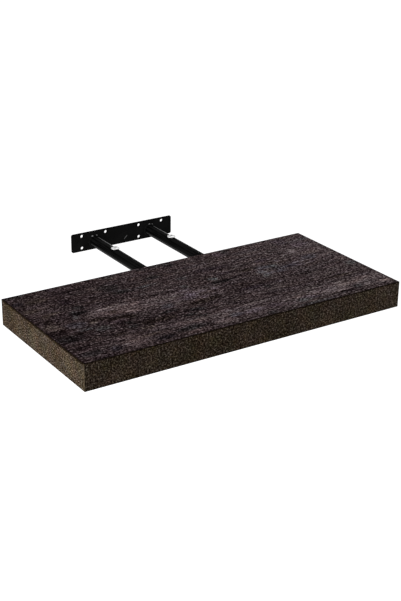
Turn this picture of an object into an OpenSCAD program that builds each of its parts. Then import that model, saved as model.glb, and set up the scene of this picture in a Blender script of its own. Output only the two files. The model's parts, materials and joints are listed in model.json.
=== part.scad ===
// Hollow-core wall shelf on a hidden steel bracket. Units are millimetres.
// The board stands pulled forward along the bracket's two tubes, so that both parts show.
// Origin: centre of the wall plate's back face. +X along the shelf, +Y into the wall, +Z up.

/* [Board] */
// Length of the board, edge bands included
board_len = 500; // [400:10:900]
// Depth of the board from its front to the wall
board_depth = 235; // [180:5:300]
// Thickness of the board
board_t = 38; // [36:1:50]
// Thickness of the top and bottom panels
skin_t = 3; // [2:0.5:4]
// Thickness of the edge bands on the front and the two ends
band_t = 1; // [0.6:0.1:2]
// Width of the eased edge along the board's visible corners
edge_ease = 0.5; // [0.2:0.1:0.5]

/* [Inner frame] */
// Width of the front rail
front_rail_w = 20; // [15:1:40]
// Width of the back rail, which carries most of the load
back_rail_w = 30; // [20:1:40]
// Width of the two end rails
end_rail_w = 20; // [15:1:40]
// Wood beside each tube in its socket block
block_wall = 12; // [8:1:16]
// Nominal width of one honeycomb cell
cell_w = 22; // [16:1:40]
// Nominal length of one honeycomb cell, front to back
cell_l = 26; // [18:1:45]
// Thickness of the honeycomb's glued paper walls
paper_t = 0.6; // [0.4:0.1:1.2]

/* [Bracket] */
// Distance between the two tubes' axes
tube_spacing = 100; // [80:1:140]
// Outer diameter of the tubes
tube_d = 17.2; // [12:0.2:18]
// Wall thickness of the tubes
tube_wall = 2; // [1.5:0.1:3]
// How far the tubes lie below the plate's mid-height
tube_drop = 2; // [0:0.5:3]
// Thickness of the wall plate
plate_t = 2.5; // [2:0.5:4]
// Corner radius of the wall plate
plate_corner_r = 3; // [1:0.5:5]
// Space above and below the plate inside the board
plate_play = 1; // [0.5:0.5:3]
// Leg of the weld bead round each tube's foot
weld_leg = 2.5; // [1.5:0.5:4]
// How far the bracket sits to the right of the board's middle
bracket_offset = 41; // [-60:1:60]

/* [Wall holes] */
// Diameter of the wall plate's screw holes
hole_d = 4.8; // [4:0.1:7]
// Distance from a tube's axis to the holes between the tubes
hole_to_tube = 20; // [16:1:26]
// Distance from a tube's axis to the holes outside the tubes
outer_hole_to_tube = 22; // [16:1:30]
// Distance from the outer holes to the plate's ends
hole_to_end = 18; // [8:1:30]
// Distance from the holes to the plate's upper and lower edges
hole_to_edge = 5.25; // [5:0.25:9]

/* [Levelling screws] */
// Distance of the screws from the wall plate
screw_from_plate = 66; // [30:1:100]
// Thread diameter of the levelling screws
screw_d = 6; // [4:1:8]
// Length of the screws under their heads
screw_len = 12; // [9:1:14]
// Diameter of the domed screw heads
head_d = 13; // [11:0.5:15]
// Height of the domed screw heads
head_h = 2.5; // [2:0.1:4]
// Height of the upright rim under a head's dome
head_rim = 0.9; // [0.5:0.1:1.5]
// Length of each arm pair of the cross recess
recess_len = 6.4; // [4:0.2:8]
// Width of the cross recess
recess_w = 1.2; // [0.8:0.1:2]
// Depth of the cross recess
recess_deep = 1.3; // [0.8:0.1:1.8]
// Angle of the cross recess against the tube
recess_turn = 12; // [0:1:90]
// Chamfer at the tip of the screws
tip_chamfer = 0.8; // [0.4:0.1:1.5]

/* [Fits] */
// Tube length still inside the board as it stands
rest_hold = 23; // [15:1:60]
// Clearance round a tube in its socket
tube_play = 0.3; // [0.2:0.05:0.5]
// Clearance round the screw's thread in the tube wall
thread_play = 0.05; // [0.02:0.01:0.1]
// Clearance under a screw's head
head_seat = 0.3; // [0.2:0.05:0.5]
// Clearance beside a screw's head in its key slot
slot_play = 0.5; // [0.3:0.1:1]
// Clearance ahead of a screw's head at the end of its key slot
slot_end_play = 3; // [1:0.5:6]
// Clearance between the weld beads and the back rail
weld_play = 1; // [0.5:0.5:3]
// Clearance between the tubes' tips and the front rail
tip_play = 6.5; // [3:0.5:15]

/* [Hidden] */
$fn = 64;
// Overrun of a cut past the face it leaves
cut = 1;
// Share of a honeycomb cell's length from one row to the next
row_share = 0.75;
// Share of a honeycomb cell's length from its middle to its shoulders
shoulder_share = 0.25;

// Colours as the photograph shows them, and plain ones for the hidden pieces
decor_brown = "#3a3130";
band_brown = "#453a2e";
rail_tan = "#b08d63";
paper_tan = "#a98a5f";
coat_black = "#161616";
zinc_grey = "#b9bcc0";

// Board: places of its faces, with the board as it stands
core_h = board_t - 2 * skin_t;
plate_h = core_h - 2 * plate_play;
tube_len = board_depth - plate_t - band_t - front_rail_w - tip_play;
back_y = -(plate_t + tube_len - rest_hold);
front_y = back_y - board_depth;
left_x = -(board_len / 2 + bracket_offset);
right_x = left_x + board_len;
top_z = board_t / 2;

// Frame: rails and bays between them
rear_recess = plate_t + weld_leg + weld_play;
back_rail_y = back_y - rear_recess;
core_back_y = back_rail_y - back_rail_w;
core_front_y = front_y + band_t + front_rail_w;
core_depth = core_back_y - core_front_y;
frame_left_x = left_x + band_t;
frame_right_x = right_x - band_t;
bay_left_x = frame_left_x + end_rail_w;
bay_right_x = frame_right_x - end_rail_w;
block_w = tube_d + 2 * block_wall;
block_edge = tube_spacing / 2 + block_w / 2;

// Bracket
tube_x = tube_spacing / 2;
tube_z = -tube_drop;
plate_len = tube_spacing + 2 * (outer_hole_to_tube + hole_to_end);
hole_columns = [tube_x - hole_to_tube, tube_x + outer_hole_to_tube];
hole_row = plate_h / 2 - hole_to_edge;
screw_y = -(plate_t + screw_from_plate);
head_z = tube_z + tube_d / 2 + head_seat;
dome = head_h - head_rim;
dome_r = (head_d * head_d / 4 + dome * dome) / (2 * dome);

// Sockets
socket_d = tube_d + 2 * tube_play;
slot_w = head_d + 2 * slot_play;
slot_end_y = back_y - plate_t - screw_from_plate - head_d / 2 - slot_end_play;

// A box from its low corner to its high corner
module block_between(low, high) {
    translate(low) cube(high - low);
}

// The board's outer form, with eased edges on the top, bottom, front and ends
module board_form() {
    half_t = board_t / 2;
    intersection() {
        translate([left_x, back_y, 0]) rotate([90, 0, 90])
            linear_extrude(board_len) polygon([
                [0, -half_t], [-board_depth + edge_ease, -half_t], [-board_depth, -half_t + edge_ease],
                [-board_depth, half_t - edge_ease], [-board_depth + edge_ease, half_t], [0, half_t]
            ]);
        translate([0, back_y, 0]) rotate([90, 0, 0])
            linear_extrude(board_depth) polygon([
                [left_x + edge_ease, -half_t], [right_x - edge_ease, -half_t],
                [right_x, -half_t + edge_ease], [right_x, half_t - edge_ease],
                [right_x - edge_ease, half_t], [left_x + edge_ease, half_t],
                [left_x, half_t - edge_ease], [left_x, -half_t + edge_ease]
            ]);
        translate([0, 0, -half_t]) linear_extrude(board_t) polygon([
            [left_x, back_y], [left_x, front_y + edge_ease], [left_x + edge_ease, front_y],
            [right_x - edge_ease, front_y], [right_x, front_y + edge_ease], [right_x, back_y]
        ]);
    }
}

// A panel between the edge bands, with its underside at height low_z
module skin_panel(low_z) {
    color(decor_brown)
        block_between([frame_left_x, front_y + band_t, low_z], [frame_right_x, back_y, low_z + skin_t]);
}

// An upright strip of the frame that fills the height between the panels
module frame_strip(low_x, high_x, low_y, high_y) {
    block_between([low_x, low_y, -core_h / 2], [high_x, high_y, core_h / 2]);
}

// The way cut for one tube and its screw: a bore, and a key slot above it that is open upwards
module tube_way(x) {
    translate([x, back_y + cut, tube_z]) rotate([90, 0, 0]) cylinder(d = socket_d, h = board_depth);
    block_between([x - slot_w / 2, slot_end_y, tube_z], [x + slot_w / 2, back_y + cut, core_h / 2 + cut]);
}

// The wood block that guides one tube, from the back rail to the front rail
module socket_block(x) {
    color(rail_tan) difference() {
        frame_strip(x - block_w / 2, x + block_w / 2, core_front_y, core_back_y);
        tube_way(x);
    }
}

// One honeycomb cell's hollow, pointed towards the front and the back
module cell_hollow(pitch, length) {
    half_w = (pitch - paper_t) / 2;
    hollow_l = length - paper_t / cos(30);
    shoulder = hollow_l * shoulder_share;
    polygon([
        [0, hollow_l / 2], [half_w, shoulder], [half_w, -shoulder],
        [0, -hollow_l / 2], [-half_w, -shoulder], [-half_w, shoulder]
    ]);
}

// Paper honeycomb that fills one bay of the frame, stretched to whole cells
module honeycomb(low_x, high_x) {
    width = high_x - low_x;
    columns = max(1, round(width / cell_w));
    rows = max(2, round((core_depth / cell_l - 1) / row_share + 1));
    pitch = width / columns;
    length = core_depth / (row_share * (rows - 1) + 1);
    color(paper_tan) translate([low_x, core_front_y, -core_h / 2]) linear_extrude(core_h) difference() {
        square([width, core_depth]);
        intersection() {
            translate([paper_t, paper_t]) square([width - 2 * paper_t, core_depth - 2 * paper_t]);
            for (row = [-1:rows], column = [0:columns]) {
                shift = (row % 2 == 0) ? pitch / 2 : 0;
                translate([column * pitch + shift, length / 2 + row * row_share * length])
                    cell_hollow(pitch, length);
            }
        }
    }
}

// The part of the board's outer form between two corners, as an edge band
module edge_band(low, high) {
    color(band_brown) intersection() {
        board_form();
        block_between(low, high);
    }
}

module top_panel() {
    skin_panel(top_z - skin_t);
}

module bottom_panel() {
    skin_panel(-top_z);
}

module front_rail() {
    color(rail_tan) frame_strip(frame_left_x, frame_right_x, front_y + band_t, core_front_y);
}

module back_rail() {
    color(rail_tan) difference() {
        frame_strip(bay_left_x, bay_right_x, core_back_y, back_rail_y);
        tube_way(-tube_x);
        tube_way(tube_x);
    }
}

module left_end_rail() {
    color(rail_tan) frame_strip(frame_left_x, bay_left_x, core_front_y, back_y);
}

module right_end_rail() {
    color(rail_tan) frame_strip(bay_right_x, frame_right_x, core_front_y, back_y);
}

module left_socket_block() {
    socket_block(-tube_x);
}

module right_socket_block() {
    socket_block(tube_x);
}

module left_core() {
    honeycomb(bay_left_x, -block_edge);
}

module middle_core() {
    honeycomb(block_w / 2 - tube_x, tube_x - block_w / 2);
}

module right_core() {
    honeycomb(block_edge, bay_right_x);
}

module front_edge_band() {
    edge_band([left_x, front_y, -top_z], [right_x, front_y + band_t, top_z]);
}

module left_edge_band() {
    edge_band([left_x, front_y + band_t, -top_z], [frame_left_x, back_y, top_z]);
}

module right_edge_band() {
    edge_band([frame_right_x, front_y + band_t, -top_z], [right_x, back_y, top_z]);
}

// The wall plate's outline with its rounded corners, in the plate's own plane
module plate_outline() {
    corner_x = plate_len / 2 - plate_corner_r;
    corner_z = plate_h / 2 - plate_corner_r;
    square([plate_len, 2 * corner_z], center = true);
    square([2 * corner_x, plate_h], center = true);
    for (x = [-corner_x, corner_x], z = [-corner_z, corner_z])
        translate([x, z]) circle(r = plate_corner_r);
}

module wall_plate() {
    color(coat_black) rotate([90, 0, 0]) linear_extrude(plate_t) difference() {
        plate_outline();
        for (side = [-1, 1], x = hole_columns, z = [-hole_row, hole_row])
            translate([side * x, z]) circle(d = hole_d);
    }
}

// One tube, tapped in its upper wall for the levelling screw
module tube(x) {
    color(coat_black) difference() {
        translate([x, -plate_t, tube_z]) rotate([90, 0, 0]) cylinder(d = tube_d, h = tube_len);
        translate([x, -plate_t + cut, tube_z]) rotate([90, 0, 0])
            cylinder(d = tube_d - 2 * tube_wall, h = tube_len + 2 * cut);
        translate([x, screw_y, tube_z]) cylinder(d = screw_d + 2 * thread_play, h = tube_d / 2 + cut);
    }
}

// The weld bead round a tube's foot, a quarter round in section
module weld(x) {
    color(coat_black) translate([x, -plate_t, tube_z]) rotate([90, 0, 0])
        rotate_extrude() translate([tube_d / 2, 0]) intersection() {
            circle(r = weld_leg);
            square(weld_leg);
        }
}

module left_tube() {
    tube(-tube_x);
}

module right_tube() {
    tube(tube_x);
}

module left_weld() {
    weld(-tube_x);
}

module right_weld() {
    weld(tube_x);
}

// A levelling screw: a domed head with a cross recess on a plain shank
module levelling_screw(x) {
    color(zinc_grey) translate([x, screw_y, head_z]) {
        difference() {
            intersection() {
                cylinder(d = head_d, h = head_h);
                translate([0, 0, head_h - dome_r]) sphere(r = dome_r);
            }
            for (turn = [recess_turn, recess_turn + 90])
                rotate([0, 0, turn]) translate([-recess_len / 2, -recess_w / 2, head_h - recess_deep])
                    cube([recess_len, recess_w, recess_deep + cut]);
        }
        translate([0, 0, tip_chamfer - screw_len]) cylinder(d = screw_d, h = screw_len - tip_chamfer);
        translate([0, 0, -screw_len])
            cylinder(d1 = screw_d - 2 * tip_chamfer, d2 = screw_d, h = tip_chamfer);
    }
}

module left_screw() {
    levelling_screw(-tube_x);
}

module right_screw() {
    levelling_screw(tube_x);
}

top_panel();
bottom_panel();
front_rail();
back_rail();
left_end_rail();
right_end_rail();
left_socket_block();
right_socket_block();
left_core();
middle_core();
right_core();
front_edge_band();
left_edge_band();
right_edge_band();
wall_plate();
left_tube();
right_tube();
left_weld();
right_weld();
left_screw();
right_screw();
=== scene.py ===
"""Looks of the wall shelf: a board in dark wood decor, pulled forward on the tubes of its black bracket."""
import json
import math
import random

import bmesh
import bpy
from mathutils import Matrix, Vector


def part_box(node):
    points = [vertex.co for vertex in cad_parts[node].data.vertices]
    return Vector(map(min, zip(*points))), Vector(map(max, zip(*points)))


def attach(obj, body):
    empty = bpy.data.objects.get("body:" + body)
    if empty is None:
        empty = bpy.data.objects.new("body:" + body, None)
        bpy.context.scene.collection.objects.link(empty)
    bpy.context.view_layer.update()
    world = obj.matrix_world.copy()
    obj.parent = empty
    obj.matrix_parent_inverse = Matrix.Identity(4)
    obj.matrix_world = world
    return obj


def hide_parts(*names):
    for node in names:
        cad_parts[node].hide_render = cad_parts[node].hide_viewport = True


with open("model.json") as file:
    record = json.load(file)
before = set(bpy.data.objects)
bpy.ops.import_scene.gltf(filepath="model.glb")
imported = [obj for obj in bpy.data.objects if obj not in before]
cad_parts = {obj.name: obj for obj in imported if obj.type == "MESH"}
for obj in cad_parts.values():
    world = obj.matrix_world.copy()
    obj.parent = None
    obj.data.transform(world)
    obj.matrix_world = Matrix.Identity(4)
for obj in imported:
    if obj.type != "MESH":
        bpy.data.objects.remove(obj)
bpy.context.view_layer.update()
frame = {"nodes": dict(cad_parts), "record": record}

MM = 0.001

# Places that the frame gives
board_low, board_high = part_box("front_edge_band")
back_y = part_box("top_panel")[1].y
board_corner = Vector((board_low.x, board_low.y, board_low.z))
board_size = Vector((board_high.x - board_low.x, back_y - board_low.y, board_high.z - board_low.z))
board_middle = board_corner + board_size / 2

# The photograph's camera: its place from the board's front lower left corner, its angles and its focal length
IMAGE_LONG_PX = 601
FOCAL_PX = 1247.4
SENSOR_MM = 36
CLIP_END = 100
CAMERA_FROM_CORNER = Vector((-622.2, -1202.8, 695.8)) * MM
HEADING_DEG = 33.25
PITCH_DEG = 23.05
ROLL_DEG = 0.61


def make_camera():
    """The photograph's camera."""
    data = bpy.data.cameras.new("photo_camera")
    data.sensor_width = SENSOR_MM
    data.lens = SENSOR_MM * FOCAL_PX / IMAGE_LONG_PX
    data.clip_end = CLIP_END
    camera = bpy.data.objects.new("photo_camera", data)
    bpy.context.scene.collection.objects.link(camera)
    turn = (Matrix.Rotation(-math.radians(HEADING_DEG), 4, "Z")
            @ Matrix.Rotation(math.radians(90 - PITCH_DEG), 4, "X")
            @ Matrix.Rotation(math.radians(ROLL_DEG), 4, "Z"))
    camera.matrix_world = Matrix.Translation(board_corner + CAMERA_FROM_CORNER) @ turn
    bpy.context.scene.camera = camera


# Shader building

# The Mix node's two colour inputs
MIX_A, MIX_B = 6, 7
# The range that noise mostly spans
NOISE_LOW, NOISE_HIGH = 0.3, 0.7


class Shade:
    """One material's node tree, built with short calls that return sockets."""

    def __init__(self, name, tree=None):
        if tree is None:
            self.material = bpy.data.materials.new(name)
            self.material.use_nodes = True
            tree = self.material.node_tree
        tree.nodes.clear()
        self.tree = tree

    def add(self, kind, **settings):
        node = self.tree.nodes.new(kind)
        for key, value in settings.items():
            setattr(node, key, value)
        return node

    def feed(self, socket, value):
        if isinstance(value, bpy.types.NodeSocket):
            self.tree.links.new(value, socket)
        elif value is not None:
            socket.default_value = value

    def feed_colour(self, socket, colour):
        self.feed(socket, colour if isinstance(colour, bpy.types.NodeSocket) else (*colour, 1))

    def math(self, operation, a, b=None, c=None):
        node = self.add("ShaderNodeMath", operation=operation)
        for socket, value in zip(node.inputs, (a, b, c)):
            self.feed(socket, value)
        return node.outputs[0]

    def times(self, a, b):
        return self.math("MULTIPLY", a, b)

    def vector(self, operation, a, b=None, c=None):
        node = self.add("ShaderNodeVectorMath", operation=operation)
        for socket, value in zip(node.inputs, (a, b, c)):
            self.feed(socket, value)
        return node.outputs["Value" if operation == "DOT_PRODUCT" else "Vector"]

    def noise(self, place, scale=1.0, detail=2.0, roughness=0.5, color=False):
        """Noise at a place; a scale of three values stretches it."""
        if isinstance(scale, tuple):
            place, scale = self.vector("MULTIPLY", place, scale), 1.0
        node = self.add("ShaderNodeTexNoise")
        self.feed(node.inputs["Vector"], place)
        node.inputs["Scale"].default_value = scale
        node.inputs["Detail"].default_value = detail
        node.inputs["Roughness"].default_value = roughness
        return node.outputs["Color" if color else "Fac"]

    def cells(self, place, scale, output="Distance"):
        node = self.add("ShaderNodeTexVoronoi")
        self.feed(node.inputs["Vector"], place)
        node.inputs["Scale"].default_value = scale
        return node.outputs[output]

    def ramp(self, factor, stops):
        """A colour ramp from (place, colour) stops."""
        node = self.add("ShaderNodeValToRGB")
        elements = node.color_ramp.elements
        while len(elements) < len(stops):
            elements.new(0.5)
        for element, (place, colour) in zip(elements, stops):
            element.position = place
            element.color = (*colour, 1)
        self.feed(node.inputs[0], factor)
        return node.outputs[0]

    def two_tone(self, noise, dark, light):
        return self.ramp(noise, [(NOISE_LOW, dark), (NOISE_HIGH, light)])

    def spread(self, noise, low, high):
        """Noise brought to the range from low to high."""
        return self.rescale(noise, NOISE_LOW, NOISE_HIGH, low, high)

    def rescale(self, value, low, high, new_low=0.0, new_high=1.0, smooth=False):
        node = self.add("ShaderNodeMapRange", interpolation_type="SMOOTHSTEP" if smooth else "LINEAR")
        for socket, number in zip(node.inputs, (value, low, high, new_low, new_high)):
            self.feed(socket, number)
        return node.outputs[0]

    def mix(self, factor, a, b, blend="MIX"):
        node = self.add("ShaderNodeMix", data_type="RGBA", blend_type=blend)
        self.feed(node.inputs["Factor"], factor)
        self.feed_colour(node.inputs[MIX_A], a)
        self.feed_colour(node.inputs[MIX_B], b)
        return node.outputs[2]

    def place(self, origin, stretch=(1, 1, 1)):
        """Coordinates in millimetres from an origin in metres, each axis times its stretch."""
        coordinates = self.add("ShaderNodeTexCoord").outputs["Object"]
        moved = self.vector("SUBTRACT", coordinates, tuple(origin))
        return self.vector("MULTIPLY", moved, tuple(s / MM for s in stretch))

    def combine(self, *values):
        node = self.add("ShaderNodeCombineXYZ")
        for socket, value in zip(node.inputs, values):
            self.feed(socket, value)
        return node.outputs[0]

    def separate(self, vector):
        node = self.add("ShaderNodeSeparateXYZ")
        self.feed(node.inputs[0], vector)
        return node.outputs

    def seen(self):
        """1 for rays from the camera and for mirrored and refracted ones, otherwise 0."""
        path = self.add("ShaderNodeLightPath").outputs
        seen = self.math("MAXIMUM", path["Is Camera Ray"], path["Is Glossy Ray"])
        return self.math("MAXIMUM", seen, path["Is Transmission Ray"])

    def finish(self, colour, roughness, bump, bump_height, **sockets):
        """A Principled surface with a bump in metres; sockets names further inputs, such as Metallic."""
        shader = self.add("ShaderNodeBsdfPrincipled")
        self.feed_colour(shader.inputs["Base Color"], colour)
        self.feed(shader.inputs["Roughness"], roughness)
        for key, value in sockets.items():
            self.feed(shader.inputs[key.replace("_", " ")], value)
        node = self.add("ShaderNodeBump")
        node.inputs["Distance"].default_value = bump_height
        node.inputs["Strength"].default_value = 1.0
        self.feed(node.inputs["Height"], bump)
        self.feed(shader.inputs["Normal"], node.outputs[0])
        out = self.add("ShaderNodeOutputMaterial")
        self.tree.links.new(shader.outputs[0], out.inputs[0])
        return self.material


def srgb(*rgb):
    """A colour written as 0 to 255 display values, as linear light."""
    return tuple((c / 255 / 12.92) if c <= 10 else ((c / 255 + 0.055) / 1.055) ** 2.4 for c in rgb)


def grey(level):
    return srgb(level, level, level)


# Hues of the decor's marks, as what they add to the factors on red and blue
TEAL = (-0.17, 0.0)
BLUE = (-0.12, 0.12)
PURPLE = (0.0, 0.12)
PINK = (0.05, -0.03)
OLIVE = (-0.02, -0.13)

# The printed decor's marks in millimetres from the board's back left corner: along, from the back,
# half length, half width, brightness and, where it differs, hue
MARKS = [
    (290, 205, 240, 19, 6), (430, 203, 90, 17, 7), (115, 114, 66, 18, 8), (222, 120, 56, 22, 4),
    (85, 45, 110, 30, -4), (25, 158, 60, 24, -6), (150, 166, 70, 13, -5), (305, 132, 56, 18, -4),
    (30, 62, 34, 14, 3), (470, 60, 50, 40, 4), (15, 5, 16, 5, -5, TEAL), (33, 13, 7, 4, -12),
    (68, 6, 4, 7, -8, PURPLE), (108, 13, 12, 4, 7, PINK), (105, 24, 30, 4, -14), (160, 6, 12, 6, 1, TEAL),
    (207, 15, 7, 7, 9, PINK), (213, 5, 7, 6, -8, TEAL), (236, 5, 12, 6, -8, TEAL),
    (257, 10, 10, 8, -9, TEAL), (305, 9, 7, 8, -8), (341, 14, 7, 9, 7, PURPLE), (355, 10, 6, 8, -6, TEAL),
    (410, 15, 10, 4, 6), (448, 18, 12, 14, 3, PURPLE), (490, 24, 8, 4, 6, TEAL), (10, 30, 7, 6, -10, BLUE),
    (35, 32, 16, 8, 3, OLIVE), (118, 32, 6, 3, 9, PINK), (142, 42, 16, 13, -8, TEAL),
    (185, 32, 8, 3, 10, PINK), (213, 42, 14, 5, -10, TEAL), (232, 40, 10, 7, 5, PINK), (295, 35, 28, 9, 2),
    (350, 36, 16, 3, 8), (437, 44, 5, 3, 18), (470, 40, 16, 14, 4, PURPLE), (14, 60, 13, 8, 8, OLIVE),
    (32, 58, 9, 5, 9), (68, 56, 9, 9, -12, PURPLE), (108, 56, 8, 3, 10), (107, 61, 10, 3, -13),
    (152, 58, 14, 4, 10, TEAL), (150, 65, 16, 4, -17, TEAL), (190, 62, 14, 4, 6, TEAL), (228, 57, 8, 5, -9),
    (245, 64, 8, 4, 6, TEAL), (300, 56, 30, 6, -12, PURPLE), (318, 63, 14, 4, -8), (338, 65, 6, 4, 14),
    (366, 73, 7, 3, 30), (348, 68, 14, 3, -10), (391, 56, 5, 5, -10), (443, 61, 6, 5, 42),
    (431, 66, 6, 3, 22), (444, 54, 9, 4, 16), (380, 67, 12, 5, -9, PURPLE), (470, 75, 22, 5, 13, PINK),
    (75, 82, 9, 6, -7, TEAL), (38, 81, 14, 4, 9, OLIVE), (31, 89, 5, 4, -26), (22, 88, 7, 6, 7, OLIVE),
    (62, 90, 8, 4, 13, TEAL), (64, 97, 14, 5, -30, TEAL), (148, 93, 10, 5, 12, PINK), (192, 86, 12, 4, 15),
    (213, 80, 5, 3, 10), (190, 97, 20, 3, -11), (232, 92, 6, 5, 11, TEAL), (280, 88, 8, 4, 12, TEAL),
    (286, 93, 6, 6, 20, TEAL), (325, 92, 14, 3, 8), (401, 78, 5, 4, 26, PURPLE), (366, 90, 12, 8, 6, BLUE),
    (382, 93, 10, 8, 9, TEAL), (310, 80, 20, 4, -8, PURPLE), (342, 85, 14, 6, -8, OLIVE),
    (424, 98, 15, 3, 26, PURPLE), (450, 91, 14, 8, 3, BLUE), (478, 95, 14, 3, 12, PINK),
    (95, 101, 15, 4, 15), (120, 104, 36, 7, 13), (144, 105, 8, 7, 9, PINK), (108, 117, 6, 4, -24, OLIVE),
    (85, 110, 16, 10, 8), (122, 118, 42, 10, 11, PINK), (20, 103, 8, 6, -22, OLIVE), (37, 102, 7, 4, -16),
    (27, 113, 5, 3, -22), (15, 122, 14, 12, 14, OLIVE), (50, 105, 6, 5, -12), (57, 107, 5, 7, 14, TEAL),
    (59, 115, 6, 3, -14), (172, 108, 12, 8, 14), (172, 122, 11, 5, 14), (198, 110, 16, 10, 12),
    (225, 104, 14, 5, 18, PURPLE), (241, 105, 8, 4, -12), (247, 116, 5, 5, 30, PURPLE),
    (228, 117, 12, 8, 12, PURPLE), (267, 117, 5, 7, 28, PURPLE), (292, 103, 18, 5, -28, TEAL),
    (330, 99, 26, 3, -14), (355, 103, 6, 6, 32, BLUE), (364, 112, 10, 4, 24, BLUE),
    (355, 117, 8, 6, 20, TEAL), (395, 104, 22, 5, -3, BLUE), (383, 113, 10, 5, 12, BLUE),
    (415, 107, 16, 6, -3, PURPLE), (486, 118, 8, 6, 16, PINK), (445, 108, 6, 3, 8, PURPLE),
    (45, 130, 14, 11, 7, BLUE), (66, 134, 6, 5, 15, OLIVE), (15, 139, 15, 8, -18),
    (78, 128, 14, 4, -18, OLIVE), (102, 136, 16, 5, -20, OLIVE), (120, 142, 9, 6, -18, OLIVE),
    (92, 145, 20, 3, 10, PURPLE), (132, 128, 10, 6, 18), (138, 138, 10, 8, 8), (178, 138, 11, 8, 12, BLUE),
    (197, 130, 8, 12, 12), (218, 126, 14, 8, 9, PURPLE), (237, 137, 6, 5, 28, PURPLE),
    (228, 147, 26, 7, -20, OLIVE), (50, 147, 16, 3, 10, TEAL), (300, 132, 32, 9, -8),
    (312, 143, 22, 5, -10, PURPLE), (263, 135, 7, 4, 20), (252, 143, 10, 6, -18), (340, 138, 14, 10, -9),
    (357, 143, 4, 5, 15, PURPLE), (405, 138, 14, 7, -10), (474, 132, 8, 5, -9, PINK), (458, 141, 12, 4, 8),
    (490, 140, 9, 8, 9, TEAL), (38, 155, 8, 6, -18), (18, 162, 18, 12, -11, TEAL),
    (70, 156, 11, 8, 14, TEAL), (97, 152, 6, 5, -15, PURPLE), (108, 158, 7, 5, -15, TEAL),
    (122, 163, 12, 4, -12), (140, 158, 10, 4, -9), (133, 170, 16, 5, -17, OLIVE),
    (158, 170, 14, 7, -8, OLIVE), (85, 172, 8, 5, 8), (107, 171, 8, 4, 6, TEAL),
    (172, 154, 12, 4, -12, TEAL), (188, 162, 14, 5, -9), (204, 168, 12, 5, -12, TEAL),
    (240, 167, 10, 4, 10, PINK), (300, 153, 7, 4, 18), (300, 163, 7, 4, 15), (345, 163, 8, 3, 17),
    (333, 152, 6, 5, -14, TEAL), (320, 173, 16, 4, -14), (411, 166, 6, 3, 15), (455, 165, 16, 3, 15),
    (440, 172, 32, 3, -8, OLIVE), (440, 151, 20, 3, 8), (50, 180, 9, 5, 9, PINK), (20, 195, 16, 5, -12),
    (80, 183, 12, 4, -10, OLIVE), (122, 182, 12, 5, 11, OLIVE), (188, 178, 10, 4, -13, TEAL),
    (202, 187, 12, 3, -12, TEAL), (221, 180, 6, 4, 12), (80, 193, 16, 5, 11), (135, 192, 14, 4, 15),
    (165, 196, 14, 6, 12, PINK), (188, 199, 10, 5, 12, PINK), (233, 190, 8, 4, 18), (225, 196, 32, 6, 9),
    (265, 183, 18, 3, -9), (272, 190, 16, 4, 20), (297, 191, 12, 4, 12), (294, 198, 9, 3, -8),
    (325, 203, 8, 4, 14), (345, 203, 12, 4, 14, PINK), (360, 203, 5, 4, -12), (375, 202, 7, 4, 24),
    (440, 187, 50, 3, -7), (425, 192, 10, 3, 16), (425, 201, 16, 4, 25, PINK), (450, 202, 8, 5, 16, PINK),
    (466, 197, 12, 8, 12, PINK), (488, 198, 14, 5, 11), (88, 212, 18, 15, 14, PINK),
    (112, 203, 14, 4, 9, OLIVE), (22, 214, 16, 8, -7, TEAL), (55, 217, 9, 8, -10, BLUE),
    (168, 213, 24, 6, -20, TEAL), (126, 221, 14, 5, -18, BLUE), (170, 226, 16, 5, 15, PINK),
    (193, 216, 8, 5, -10), (219, 217, 14, 9, 22, PINK), (240, 208, 10, 6, 9, BLUE),
    (270, 210, 18, 9, 10, PURPLE), (275, 223, 6, 3, 14), (300, 209, 12, 8, -8, PURPLE),
    (286, 229, 10, 5, -14, TEAL), (345, 217, 12, 5, 13, TEAL), (357, 209, 10, 5, 14, PURPLE),
    (366, 215, 8, 4, -8, PURPLE), (401, 208, 14, 6, 22), (415, 215, 11, 3, 28), (420, 221, 22, 4, -30),
    (440, 215, 9, 5, -8, TEAL), (458, 217, 6, 4, 40), (486, 219, 10, 4, 42, PINK),
    (355, 230, 30, 3, 8, TEAL), (175, 97, 70, 1, -12), (345, 186, 150, 1, -10), (345, 189, 150, 2, 7),
    (430, 178, 70, 1, -10), (400, 64, 90, 1, 8), (90, 177, 80, 1, -9), (420, 171, 70, 1, -9),
    (240, 173, 60, 1, -8),
]
# Fine scratches, placed in the same way: from, to and brightness
SCRATCHES = [
    ((371, 2), (411, 57), 34), ((28, 47), (56, 24), 16), ((312, 208), (331, 233), 20),
    ((236, 118), (246, 108), 14),
]
# A mark's strength is the gain times the base raised to the fourth power of the distance in half sizes
PATCH_BASE = 0.37
PATCH_GAIN = 1.3
# Noise that bends the marks and frays their edges: its scale, and how far it pushes them in millimetres
SWAY = ((0.02, 0.05, 0), (12, 5, 0))
FRAY = ((0.10, 0.5, 0), (22, 4, 0))
# Slow drifts of hue: the noise's scale, its share, and the least factors on red and on blue
HUE_SCALE = (0.025, 0.10, 0)
HUE_SHARE = 0.24
RED_BASE = 0.90
BLUE_BASE = 0.88


def pushed(shade, plank, place, push):
    """A place moved by noise: push is SWAY or FRAY."""
    scale, reach = push
    noise = shade.noise(plank, scale, detail=3, color=True)
    noise = shade.vector("SUBTRACT", noise, (0.5, 0.5, 0.5))
    return shade.vector("ADD", place, shade.vector("MULTIPLY", noise, reach))


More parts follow.
